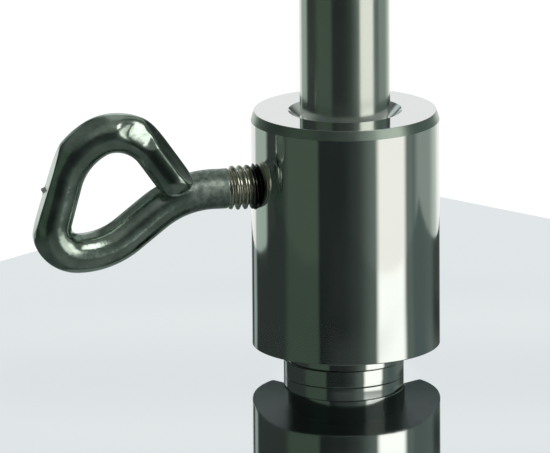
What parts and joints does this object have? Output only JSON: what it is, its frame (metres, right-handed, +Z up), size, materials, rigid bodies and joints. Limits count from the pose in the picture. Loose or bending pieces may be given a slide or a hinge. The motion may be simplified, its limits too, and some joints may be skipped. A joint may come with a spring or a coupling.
{
  "type": "stand base socket",
  "caption": "Polished steel base plate on rubber feet with a turned socket that holds an upright round rod, clamped by a bent eye screw.",
  "frame": {"origin": "on the surface that the feet stand on, under the middle of the base plate, on the rod's axis", "axes": "+Z up along the rod; Y along the plate's longer side, X along its shorter side; the eye screw points to -X and -Y, 234.9 degrees from +X"},
  "size_m": [0.1526, 0.1644, 0.1762],
  "materials": {
    "plate_mirror_steel": "mirror-polished stainless sheet",
    "turned_steel": "fine-turned bright stainless steel",
    "rod_steel": "ground bright stainless steel",
    "eye_steel": "bent and tumbled bright stainless bar",
    "fastener_steel": "plain stainless fasteners",
    "foot_rubber": "moulded black rubber, slightly matt"
  },
  "bodies": {
    "base": {"base_plate": "plate_mirror_steel", "foot_front_left": "foot_rubber", "foot_front_right": "foot_rubber", "foot_back_left": "foot_rubber", "foot_back_right": "foot_rubber", "fixing_washer": "fastener_steel", "fixing_screw": "fastener_steel", "spacer_ring": "turned_steel", "socket": "turned_steel"},
    "rod": {"rod": "rod_steel"},
    "eye_screw": {"eye_screw": "eye_steel"}
  },
  "joints": [
    {"name": "rod_height", "type": "slide", "parent": "base", "child": "rod", "axis": [0, 0, 1], "range_m": [0, 0.026]},
    {"name": "eye_screw_turn", "type": "hinge", "parent": "base", "child": "eye_screw", "pos_m": [0, 0, 0.03745], "axis": [-0.575, -0.8181, 0], "range_deg": [0, 810]}
  ]
}
